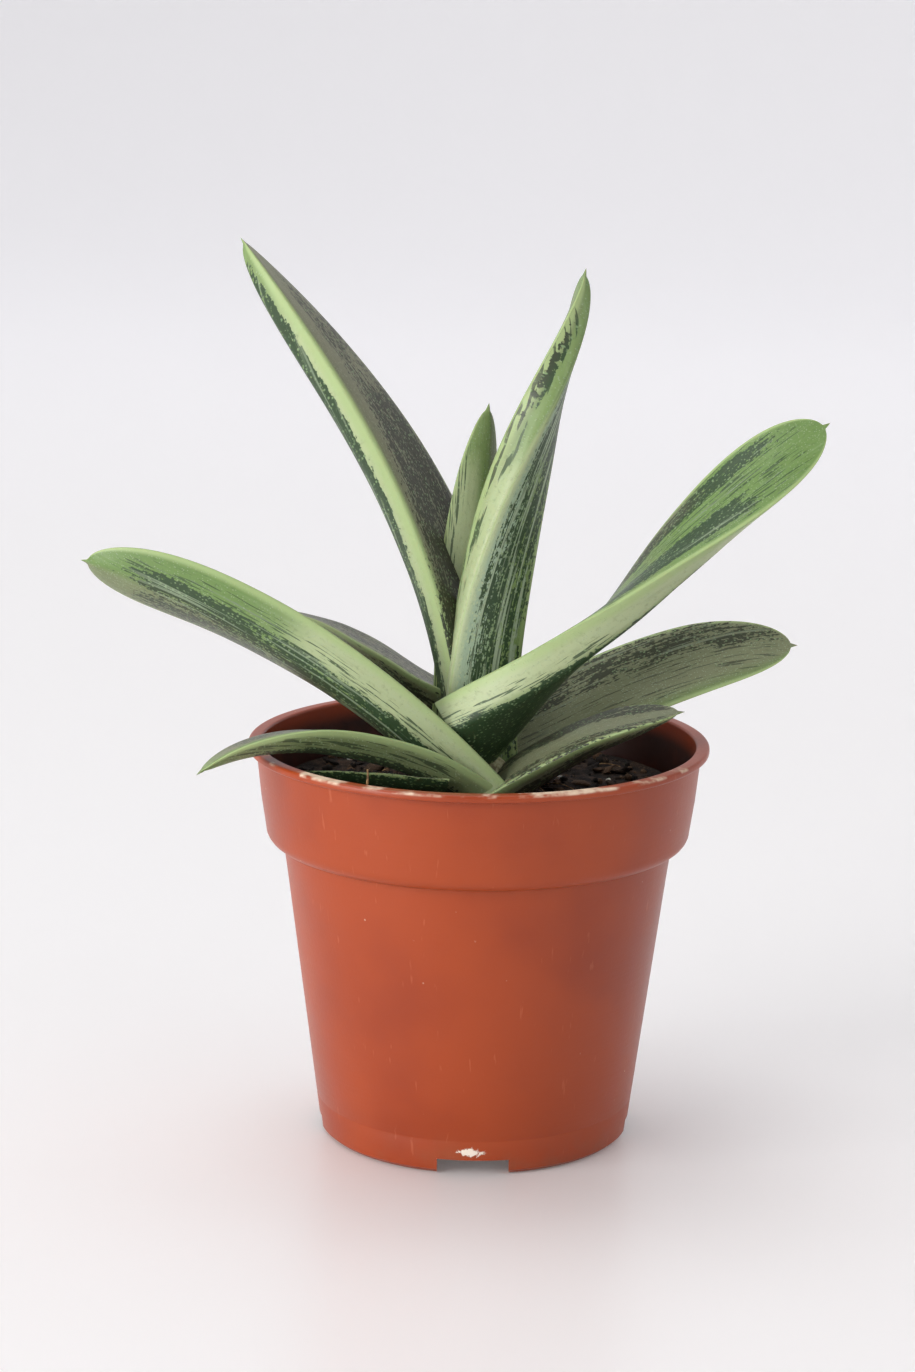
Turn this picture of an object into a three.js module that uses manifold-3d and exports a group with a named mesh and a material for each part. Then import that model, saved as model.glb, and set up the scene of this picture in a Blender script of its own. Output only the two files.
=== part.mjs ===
// A gasteria in a round plastic grower's pot. Millimetres, +Z up, resting on z = 0.
import * as THREE from 'three';
import { mergeVertices } from 'three/addons/utils/BufferGeometryUtils.js';
import Module from 'manifold-3d';

const wasm = await Module();
wasm.setup();

// Driving dimensions of the pot
const potHeight = 74;
const lipRadius = 42.5;
const lipHeight = 1.4;
const lipOverhang = 1.5;
const lipRounding = 0.4;
const wall = 1;
const collarHeight = 18.5;
const collarTaper = 1.8;
const collarFillet = 2.5;
const shoulderStep = 3.2;
const footRadius = 28.8;
const footRingWidth = 2;
const footBevel = 0.7;
const plateHeight = 3;
const plateThickness = 1.2;
const notchWidth = 13;
const notchHeight = 2.8;
const notchCount = 4;
const notchReach = 10;
const drainReach = 6;

// Driving dimensions of the planting
const gap = 0.3;
const soilBelowRim = 9;
const soilMound = 2;
const stemRadius = 7;
const stemAboveSoil = 9;
const stemBelowSoil = 14;

const soilTop = potHeight - soilBelowRim;
const crownHeight = soilTop + stemAboveSoil;

// How finely the round shapes are divided
const potSegments = 56;
const stemSegments = 24;
const leafStations = 20;
const sectionPoints = 14;

// Shape that all the leaves share
const channel = 0.08;
const edge = 0.2;
const marginFullness = 0.8;
const ridgeFullness = 1.4;
const tipFullness = 0.55;
const claspReach = 0.3;

const colours = {
  pot: 0xb5532f,
  soil: 0x2a1f18,
  stem: 0x8b9160,
  leaf: 0x4d6d3e,
};

// Each leaf runs from base to tip, with heights taken from the stem's top. rise and heading are
// its directions in degrees at the base and at the tip. twist, width and thickness are given at the
// base, the middle and the tip. keel is where the back's ridge lies, from -1 at one margin to 1 at
// the other. blunt rounds the tip, and clasp lifts the margins round the stem.
// Inner leaves come first, because each leaf wraps round those before it.
const leaves = {
  leaf_heart: {
    base: [-2, 8, -8], tip: [1, 8, 61.5], rise: [93, 80], heading: [0, 0],
    twist: [60, 60, 60], width: [14, 14, 11], thickness: [4, 4, 2.5], keel: -0.3, blunt: 4, clasp: 0.4,
  },
  leaf_upper_right: {
    base: [1, 1, -10], tip: [18, 0, 87], rise: [95, 71], heading: [0, 0],
    twist: [118, 118, -20], width: [15, 12, 12], thickness: [6.5, 6.5, 6],
    keel: 0.6, blunt: 6, clasp: 0.1,
  },
  leaf_upper_left: {
    base: [1.5, 5, -8], tip: [-45, 14, 90.5], rise: [94, 44], heading: [170, 166],
    twist: [30, 22, -8], width: [19, 17, 12], thickness: [7, 7.5, 6], keel: -0.6, blunt: 7, clasp: 0.4,
  },
  leaf_right: {
    base: [-3, -6, 2], tip: [62, -6, 60.5], rise: [40, 33], heading: [0, 4],
    twist: [84, -20, -68], width: [16, 12, 18.5], thickness: [6, 6, 4], keel: 0.5, blunt: 7, clasp: 0.1,
  },
  leaf_left: {
    base: [7, -8, -14], tip: [-73, -2, 33], rise: [50, 10], heading: [180, 178],
    twist: [-38, -40, -62], width: [13, 17, 19], thickness: [6, 6, 4], keel: -0.1, blunt: 7, clasp: 0.1,
  },
  leaf_back_left: {
    base: [-4, 8, 5], tip: [-38, 20, 20], rise: [32, 2], heading: [162, 158],
    twist: [-10, -10, -10], width: [13, 12, 8], thickness: [5, 4, 3], keel: 0, blunt: 5, clasp: 0.4,
  },
  leaf_lower_right: {
    base: [3, 2, -2], tip: [59, 8, 17], rise: [28, -2], heading: [6, 6],
    twist: [-45, -50, -50], width: [16, 16, 15], thickness: [5, 4, 3], keel: 0.3, blunt: 6, clasp: 0.4,
  },
  leaf_front_right: {
    base: [0, -7, -9], tip: [37, -14, 9], rise: [42, 2], heading: [-14, -4],
    twist: [-10, -15, -15], width: [12, 14, 11], thickness: [5, 5, 3], keel: 0.3, blunt: 5, clasp: 0.1,
  },
};

// The low front leaf arches over the rim, so its route is worked out from the pot.
const archHeading = 208;
const archOverhang = 14;
const archThickness = 5;
const archDrop = 1;
leaves.leaf_front_left = {
  base: [4, -6, -9],
  tip: [...polar(lipRadius + archOverhang, archHeading), potHeight - crownHeight - archDrop],
  rise: [52, -40], heading: [196, 212],
  twist: [-15, -15, -10], width: [12, 14, 9], thickness: [archThickness, archThickness, 3],
  keel: -0.3, blunt: 5, clasp: 0.1,
};

// The old leaf lies inside the pot, with its tip just short of the wall.
const oldLeafHeading = 212;
const wallClearance = 2.5;
leaves.leaf_old = {
  base: [-6, -14, -4.5],
  tip: [...polar(lipRadius - lipOverhang - wall - wallClearance, oldLeafHeading), -1.5],
  rise: [6, 8], heading: [190, 200],
  twist: [-20, -20, -20], width: [8, 7, 4], thickness: [2.5, 2, 1.5],
  keel: 0, blunt: 4, clasp: 0,
};

function polar(radius, degrees) {
  const angle = THREE.MathUtils.degToRad(degrees);
  return [radius * Math.cos(angle), radius * Math.sin(angle)];
}

function direction(rise, heading) {
  const slope = THREE.MathUtils.degToRad(rise);
  const [x, y] = polar(Math.cos(slope), heading);
  return new THREE.Vector3(x, y, Math.sin(slope));
}

// A value that passes smoothly from the base through the middle towards the tip.
function along([base, middle, tip], t) {
  return base * (1 - t) ** 2 + 2 * middle * t * (1 - t) + tip * t ** 2;
}

function midline(leaf) {
  const base = new THREE.Vector3(...leaf.base).setZ(crownHeight + leaf.base[2]);
  const tip = new THREE.Vector3(...leaf.tip).setZ(crownHeight + leaf.tip[2]);
  const reach = base.distanceTo(tip) / 3;
  const leaving = direction(leaf.rise[0], leaf.heading[0]).multiplyScalar(reach).add(base);
  const arriving = direction(leaf.rise[1], leaf.heading[1]).multiplyScalar(-reach).add(tip);
  return new THREE.CubicBezierCurve3(base, leaving, arriving, tip);
}

// The outline of a leaf across its length: a shallow channel above and a ridge below.
// across runs from -1 to 1 between the margins, and height is up from the line that joins them.
// edge is the share of the thickness kept at the margins. grow moves the outline outwards.
function sectionPoint(leaf, index, halfWidth, thickness, clasp, grow) {
  const angle = (index / sectionPoints) * 2 * Math.PI;
  const across = Math.sign(Math.cos(angle)) * Math.abs(Math.cos(angle)) ** marginFullness;
  const lip = edge * thickness * Math.abs(Math.sin(angle));
  const span = across > leaf.keel ? 1 - leaf.keel : 1 + leaf.keel;
  const fromKeel = Math.abs(across - leaf.keel) / span;
  const ridge = (1 - edge) * thickness * (1 - Math.min(fromKeel, 1) ** ridgeFullness);
  const upper = lip - channel * halfWidth * (1 - across ** 2);
  const lower = -lip - ridge;
  const height = Math.sin(angle) >= 0 ? upper : lower;
  const wrapped = height + clasp * halfWidth * across ** 2;
  return [across * halfWidth + grow * Math.cos(angle), wrapped + grow * Math.sin(angle)];
}

// The direction across a leaf at t, square to its midline and turned by its twist.
function sideways(leaf, t, tangent) {
  const heading = THREE.MathUtils.lerp(leaf.heading[0], leaf.heading[1], t);
  const side = new THREE.Vector3(...polar(1, heading - 90), 0);
  side.addScaledVector(tangent, -side.dot(tangent)).normalize();
  return side.applyAxisAngle(tangent, -THREE.MathUtils.degToRad(along(leaf.twist, t)));
}

// grow makes the leaf fatter all round, for cutting room out of its neighbours.
function leafGeometry(leaf, grow) {
  const curve = midline(leaf);
  const positions = [];
  for (let station = 0; station < leafStations; station += 1) {
    const t = station / leafStations;
    const point = curve.getPoint(t);
    const tangent = curve.getTangent(t);
    const side = sideways(leaf, t, tangent);
    const normal = new THREE.Vector3().crossVectors(side, tangent);
    const closing = (1 - t ** leaf.blunt) ** tipFullness;
    const halfWidth = (along(leaf.width, t) / 2) * closing;
    const thickness = along(leaf.thickness, t) * closing;
    const clasp = leaf.clasp * Math.max(1 - t / claspReach, 0) ** 2;
    for (let index = 0; index < sectionPoints; index += 1) {
      const [across, height] = sectionPoint(leaf, index, halfWidth, thickness, clasp, grow);
      const vertex = point.clone().addScaledVector(side, across).addScaledVector(normal, height);
      positions.push(vertex.x, vertex.y, vertex.z);
    }
  }
  const start = curve.getPoint(0).addScaledVector(curve.getTangent(0), -grow);
  const end = curve.getPoint(1).addScaledVector(curve.getTangent(1), grow);
  positions.push(start.x, start.y, start.z, end.x, end.y, end.z);
  const geometry = new THREE.BufferGeometry();
  geometry.setAttribute('position', new THREE.Float32BufferAttribute(positions, 3));
  geometry.setIndex(leafFaces());
  return geometry;
}

function leafFaces() {
  const faces = [];
  const startIndex = leafStations * sectionPoints;
  const endIndex = startIndex + 1;
  const lastRing = (leafStations - 1) * sectionPoints;
  for (let index = 0; index < sectionPoints; index += 1) {
    const next = (index + 1) % sectionPoints;
    faces.push(startIndex, index, next);
    faces.push(endIndex, lastRing + next, lastRing + index);
    for (let ring = 0; ring < lastRing; ring += sectionPoints) {
      const above = ring + sectionPoints;
      faces.push(ring + index, above + index, above + next);
      faces.push(ring + index, above + next, ring + next);
    }
  }
  return faces;
}

function toSolid(geometry) {
  const bare = geometry.clone();
  bare.deleteAttribute('normal');
  bare.deleteAttribute('uv');
  const merged = mergeVertices(bare, 1e-4);
  const vertProperties = new Float32Array(merged.attributes.position.array);
  const triVerts = new Uint32Array(merged.index.array);
  return new wasm.Manifold(new wasm.Mesh({ numProp: 3, vertProperties, triVerts }));
}

function toGeometry(solid) {
  const { vertProperties, triVerts } = solid.getMesh();
  const geometry = new THREE.BufferGeometry();
  geometry.setAttribute('position', new THREE.Float32BufferAttribute(vertProperties, 3));
  geometry.setIndex([...triVerts]);
  geometry.computeVertexNormals();
  return geometry;
}

// A cut can leave slivers beyond a neighbour. The leaf itself is the largest body.
function largestBody(solid) {
  return solid.decompose().reduce((best, body) => (body.volume() > best.volume() ? body : best));
}

function lathe(points, segments) {
  const profile = points.map(([radius, height]) => new THREE.Vector2(radius, height));
  return new THREE.LatheGeometry(profile, segments).rotateX(Math.PI / 2);
}

const collarBottom = potHeight - collarHeight;
const collarTopRadius = lipRadius - lipOverhang;
const collarBottomRadius = collarTopRadius - collarTaper;
const shoulderRadius = collarBottomRadius - shoulderStep;
const plateTop = plateHeight + plateThickness;

function bodyRadiusAt(height) {
  return footRadius + (shoulderRadius - footRadius) * (height / collarBottom);
}

function innerProfile(clearance) {
  const inset = wall + clearance;
  return [
    [bodyRadiusAt(plateTop) - inset, plateTop + clearance],
    [shoulderRadius - inset, collarBottom + wall + clearance],
    [collarBottomRadius - inset, collarBottom + wall + shoulderStep / 2 + clearance],
  ];
}

function potGeometry() {
  const footInner = footRadius - footRingWidth;
  const fillet = [0, 30, 60, 90].map((degrees) => {
    const [x, y] = polar(collarFillet, degrees - 90);
    return [collarBottomRadius - collarFillet + x, collarBottom + collarFillet + y];
  });
  const profile = [
    [0, plateHeight],
    [footInner, plateHeight],
    [footInner, 0],
    [footRadius - footBevel, 0],
    [bodyRadiusAt(footBevel), footBevel],
    [shoulderRadius, collarBottom],
    ...fillet,
    [collarTopRadius, potHeight - lipHeight],
    [lipRadius, potHeight - lipHeight * 0.7],
    [lipRadius, potHeight - lipHeight * 0.3],
    [lipRadius - lipRounding, potHeight],
    [collarTopRadius - wall + lipRounding, potHeight],
    ...innerProfile(0).reverse(),
    [0, plateTop],
  ];
  let pot = toSolid(lathe(profile, potSegments));
  for (let index = 0; index < notchCount; index += 1) {
    const turn = (index / notchCount) * 2 * Math.PI;
    const notchDepth = footRingWidth + notchReach;
    const notch = new THREE.BoxGeometry(notchWidth, notchDepth, 2 * notchHeight);
    notch.translate(0, -footRadius - 2 + notchDepth / 2, 0).rotateZ(turn);
    const slot = new THREE.BoxGeometry(notchWidth, drainReach, plateTop + 2);
    slot.translate(0, -footInner + drainReach / 2 + 1, plateTop / 2).rotateZ(turn);
    pot = pot.subtract(toSolid(notch)).subtract(toSolid(slot));
  }
  return toGeometry(pot);
}

function stemSolid(grow) {
  const top = crownHeight + grow;
  const bottom = soilTop - stemBelowSoil - grow;
  const radius = stemRadius + grow;
  return toSolid(lathe([
    [0, bottom],
    [radius * 0.7, bottom],
    [radius, bottom + 4],
    [radius, top - 5],
    [radius * 0.75, top - 1.5],
    [0, top],
  ], stemSegments));
}

function soilSolid(grow) {
  const [floor, shoulder, collar] = innerProfile(gap);
  return toSolid(lathe([
    [0, floor[1]],
    floor,
    shoulder,
    collar,
    [collar[0], soilTop + grow],
    [stemRadius * 3, soilTop + soilMound / 2 + grow],
    [0, soilTop + soilMound + grow],
  ], potSegments));
}

function finished(name, geometry, colour, roughness) {
  const material = new THREE.MeshStandardMaterial({ color: colour, roughness, metalness: 0 });
  const mesh = new THREE.Mesh(geometry, material);
  mesh.name = name;
  return mesh;
}

const planting = new THREE.Group();
planting.add(finished('pot', potGeometry(), colours.pot, 0.45));
const soil = soilSolid(0).subtract(stemSolid(gap));
planting.add(finished('potting_soil', toGeometry(soil), colours.soil, 0.95));
planting.add(finished('stem', toGeometry(stemSolid(0)), colours.stem, 0.7));

let taken = stemSolid(gap).add(soilSolid(gap));
for (const [name, leaf] of Object.entries(leaves)) {
  const blade = largestBody(toSolid(leafGeometry(leaf, 0)).subtract(taken));
  planting.add(finished(name, toGeometry(blade), colours.leaf, 0.5));
  taken = taken.add(toSolid(leafGeometry(leaf, gap)));
}

// The origin lies on the floor, under the middle of the whole plant and pot.
const middle = new THREE.Box3().setFromObject(planting).getCenter(new THREE.Vector3());
planting.position.set(-middle.x, -middle.y, 0);

const pottedGasteria = new THREE.Group();
pottedGasteria.add(planting);

export default pottedGasteria;
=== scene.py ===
import bpy
import math
import random
from mathutils import Matrix, Quaternion, Vector, noise


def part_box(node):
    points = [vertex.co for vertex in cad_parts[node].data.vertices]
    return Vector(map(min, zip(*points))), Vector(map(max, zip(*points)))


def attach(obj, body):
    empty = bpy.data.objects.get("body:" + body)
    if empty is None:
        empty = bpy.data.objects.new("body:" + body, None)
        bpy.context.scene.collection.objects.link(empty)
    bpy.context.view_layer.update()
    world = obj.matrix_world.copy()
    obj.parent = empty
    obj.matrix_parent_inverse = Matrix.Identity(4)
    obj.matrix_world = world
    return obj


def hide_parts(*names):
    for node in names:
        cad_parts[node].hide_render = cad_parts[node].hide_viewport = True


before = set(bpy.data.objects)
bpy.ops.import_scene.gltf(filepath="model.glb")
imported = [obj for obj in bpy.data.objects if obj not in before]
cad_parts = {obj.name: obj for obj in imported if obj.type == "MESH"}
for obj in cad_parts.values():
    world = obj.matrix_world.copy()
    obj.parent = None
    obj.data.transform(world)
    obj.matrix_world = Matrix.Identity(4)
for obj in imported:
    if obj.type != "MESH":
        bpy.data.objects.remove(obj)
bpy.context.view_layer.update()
mm = 0.001

# Places taken from the frame, in millimetres
potLow, potHigh = (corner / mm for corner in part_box("pot"))
axis = Vector(((potLow.x + potHigh.x) / 2, (potLow.y + potHigh.y) / 2, 0))
rimHeight = potHigh.z
lipRadius = (potHigh.x - potLow.x) / 2
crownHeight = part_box("stem")[1].z / mm
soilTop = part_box("potting_soil")[1].z / mm


# A socket in a material, which adds its own Math nodes when it is used in an expression
class Value:
    def __init__(self, finish, socket):
        self.finish = finish
        self.socket = socket

    def math(self, operation, first, second=0.0):
        return self.finish.node("Math", {"operation": operation}, {0: first, 1: second})

    def __add__(self, other):
        return self.math("ADD", self, other)

    def __radd__(self, other):
        return self.math("ADD", other, self)

    def __sub__(self, other):
        return self.math("SUBTRACT", self, other)

    def __rsub__(self, other):
        return self.math("SUBTRACT", other, self)

    def __mul__(self, other):
        return self.math("MULTIPLY", self, other)

    def __rmul__(self, other):
        return self.math("MULTIPLY", other, self)

    def __abs__(self):
        return self.math("ABSOLUTE", self)

    def most(self, other):
        return self.math("MAXIMUM", self, other)

    # 0 below low, 1 above high, and smooth between
    def step(self, low, high):
        ways = {"interpolation_type": "SMOOTHSTEP"}
        limits = {"Value": self, "From Min": low, "From Max": high}
        return self.finish.node("MapRange", ways, limits)


# A material, its shader, and the nodes that feed it
class Finish:
    def __init__(self, name, **shader):
        self.material = bpy.data.materials.new(name)
        self.material.use_nodes = True
        self.tree = self.material.node_tree
        self.shader = self.tree.nodes["Principled BSDF"]
        for words, value in shader.items():
            self.shader.inputs[words.replace("_", " ")].default_value = value

    def node(self, kind, settings=None, sockets=None, output=0):
        made = self.tree.nodes.new("ShaderNode" + kind)
        for key, value in (settings or {}).items():
            setattr(made, key, value)
        for key, value in (sockets or {}).items():
            self.feed(made.inputs[key], value)
        return Value(self, made.outputs[output])

    def feed(self, socket, value):
        if isinstance(value, Value):
            self.tree.links.new(value.socket, socket)
        else:
            socket.default_value = value

    def attribute(self, name, output="Fac"):
        return self.node("Attribute", {"attribute_name": name}, output=output)

    # Object coordinates in millimetres
    def place(self):
        return self.stretch(self.node("TexCoord", output="Object"), 1 / mm, 1 / mm, 1 / mm)

    def stretch(self, vector, x, y, z):
        return self.node("VectorMath", {"operation": "MULTIPLY"}, {0: vector, 1: (x, y, z)})

    def parts(self, vector):
        return [self.node("SeparateXYZ", None, {0: vector}, output) for output in range(3)]

    def grain(self, vector, scale, detail=3.0, roughness=0.5):
        return self.node("TexNoise", None, {
            "Vector": vector, "Scale": scale, "Detail": detail, "Roughness": roughness})

    # Distance from the nearest of many scattered points
    def cells(self, vector, scale):
        return self.node("TexVoronoi", None, {"Vector": vector, "Scale": scale}, "Distance")

    def blend(self, first, second, share):
        return self.node("Mix", {"data_type": "RGBA"}, {0: share, 6: first, 7: second}, 2)

    def finishWith(self, colour, roughness, height, depth):
        self.feed(self.shader.inputs["Base Color"], colour)
        self.feed(self.shader.inputs["Roughness"], roughness)
        raised = self.node("Bump", None, {"Height": height, "Distance": depth * mm})
        self.feed(self.shader.inputs["Normal"], raised)
        return self.material


# A colour given as it is seen on a screen, from 0 to 255
def tone(red, green, blue):
    def linear(value):
        share = value / 255
        return share / 12.92 if share <= 0.04045 else ((share + 0.055) / 1.055) ** 2.4
    return (linear(red), linear(green), linear(blue), 1)


def deselect():
    if bpy.context.object and bpy.context.object.mode != "OBJECT":
        bpy.ops.object.mode_set(mode="OBJECT")
    bpy.ops.object.select_all(action="DESELECT")


def smoothRamp(value, low, high):
    share = min(max((value - low) / (high - low), 0), 1)
    return share * share * (3 - 2 * share)


# Merges doubles, turns the faces outwards, smooths the piece and joins it to the frame
def complete(piece, material, sharpest=math.radians(40), doubles=0.01):
    deselect()
    piece.select_set(True)
    bpy.context.view_layer.objects.active = piece
    bpy.ops.object.transform_apply(location=True, rotation=True, scale=True)
    bpy.ops.object.mode_set(mode="EDIT")
    bpy.ops.mesh.select_all(action="SELECT")
    bpy.ops.mesh.remove_doubles(threshold=doubles * mm)
    bpy.ops.mesh.normals_make_consistent(inside=False)
    bpy.ops.object.mode_set(mode="OBJECT")
    bpy.ops.object.shade_smooth_by_angle(angle=sharpest)
    piece.data.materials.clear()
    piece.data.materials.append(material)
    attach(piece, "root")


# A closed round bar of rings, with radius 1 and from -1 to 1, which its maker moves into shape
def ringedBar(name, rings, around):
    deselect()
    bpy.ops.mesh.primitive_cylinder_add(vertices=around, radius=1, depth=2, end_fill_type="TRIFAN")
    bar = bpy.context.object
    bar.name = bar.data.name = name
    bpy.context.tool_settings.mesh_select_mode = (False, True, False)
    bpy.ops.object.mode_set(mode="EDIT")
    bpy.ops.mesh.select_all(action="DESELECT")
    bpy.ops.object.mode_set(mode="OBJECT")
    for edge in bar.data.edges:
        start, end = (bar.data.vertices[index].co.z for index in edge.vertices)
        edge.select = abs(end - start) > 1
    bpy.ops.object.mode_set(mode="EDIT")
    bpy.ops.mesh.subdivide(number_cuts=rings - 2)
    bpy.context.tool_settings.mesh_select_mode = (True, False, False)
    bpy.ops.object.mode_set(mode="OBJECT")
    return bar


# True for the two points that close a bar's ends
def endsMiddle(vertex):
    return math.hypot(vertex.co.x, vertex.co.y) < 0.5


# The place and direction at t on a curve from start to end, drawn towards the two bends
def curveAt(start, bendOne, bendTwo, end, t):
    rest = 1 - t
    place = (start * rest ** 3 + bendOne * 3 * rest ** 2 * t
             + bendTwo * 3 * rest * t ** 2 + end * t ** 3)
    onward = ((bendOne - start) * rest ** 2 + (bendTwo - bendOne) * 2 * rest * t
              + (end - bendTwo) * t ** 2)
    return place, onward


# The leaves' shapes, in millimetres and degrees. x and y are from the pot's middle and heights
# from the stem's top. rise and heading are the leaf's directions at its base and tip. twist,
# width and thickness are given at the base, middle and tip. keel is where the back's ridge lies
# between the margins.
leafShapes = {
    "leaf_heart": dict(
        base=(-2, 8, -8), tip=(1, 8, 61.5), rise=(93, 80), heading=(0, 0), twist=(60, 60, 60),
        width=(14, 14, 11), thickness=(4, 4, 2.5), keel=-0.3, blunt=4, clasp=0.4),
    "leaf_upper_right": dict(
        base=(1, 1, -10), tip=(18, 0, 87), rise=(95, 71), heading=(0, 0), twist=(118, 118, -20),
        width=(15, 12, 12), thickness=(6.5, 6.5, 6), keel=0.6, blunt=6, clasp=0.1),
    "leaf_upper_left": dict(
        base=(1.5, 5, -8), tip=(-45, 14, 90.5), rise=(94, 44), heading=(170, 166),
        twist=(30, 22, -8), width=(19, 17, 12), thickness=(7, 7.5, 6), keel=-0.6, blunt=7,
        clasp=0.4),
    "leaf_right": dict(
        base=(-3, -6, 2), tip=(62, -6, 60.5), rise=(40, 33), heading=(0, 4), twist=(84, -20, -68),
        width=(16, 12, 18.5), thickness=(6, 6, 4), keel=0.5, blunt=7, clasp=0.1),
    "leaf_left": dict(
        base=(7, -8, -14), tip=(-73, -2, 33), rise=(50, 10), heading=(180, 178),
        twist=(-38, -40, -62), width=(13, 17, 19), thickness=(6, 6, 4), keel=-0.1, blunt=7,
        clasp=0.1),
    "leaf_back_left": dict(
        base=(-4, 8, 5), tip=(-38, 20, 20), rise=(32, 2), heading=(162, 158), twist=(-10, -10, -10),
        width=(13, 12, 8), thickness=(5, 4, 3), keel=0, blunt=5, clasp=0.4),
    "leaf_lower_right": dict(
        base=(3, 2, -2), tip=(59, 8, 17), rise=(28, -2), heading=(6, 6), twist=(-45, -50, -50),
        width=(16, 16, 15), thickness=(5, 4, 3), keel=0.3, blunt=6, clasp=0.4),
    "leaf_front_right": dict(
        base=(0, -7, -9), tip=(37, -14, 9), rise=(42, 2), heading=(-14, -4), twist=(-10, -15, -15),
        width=(12, 14, 11), thickness=(5, 5, 3), keel=0.3, blunt=5, clasp=0.1),
    "leaf_front_left": dict(
        base=(7, -6, -14), tip=(-49.9, -26.5, -1), rise=(52, -40), heading=(196, 212),
        twist=(-15, -15, -10), width=(12, 14, 9), thickness=(5, 5, 3), keel=-0.3, blunt=5,
        clasp=0.1),
    "leaf_old": dict(
        base=(-6, -14, -4.5), tip=(-31.8, -19.9, -1.5), rise=(6, 8), heading=(190, 200),
        twist=(-20, -20, -20), width=(8, 7, 4), thickness=(2.5, 2, 1.5), keel=0, blunt=4, clasp=0),
}

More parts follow.
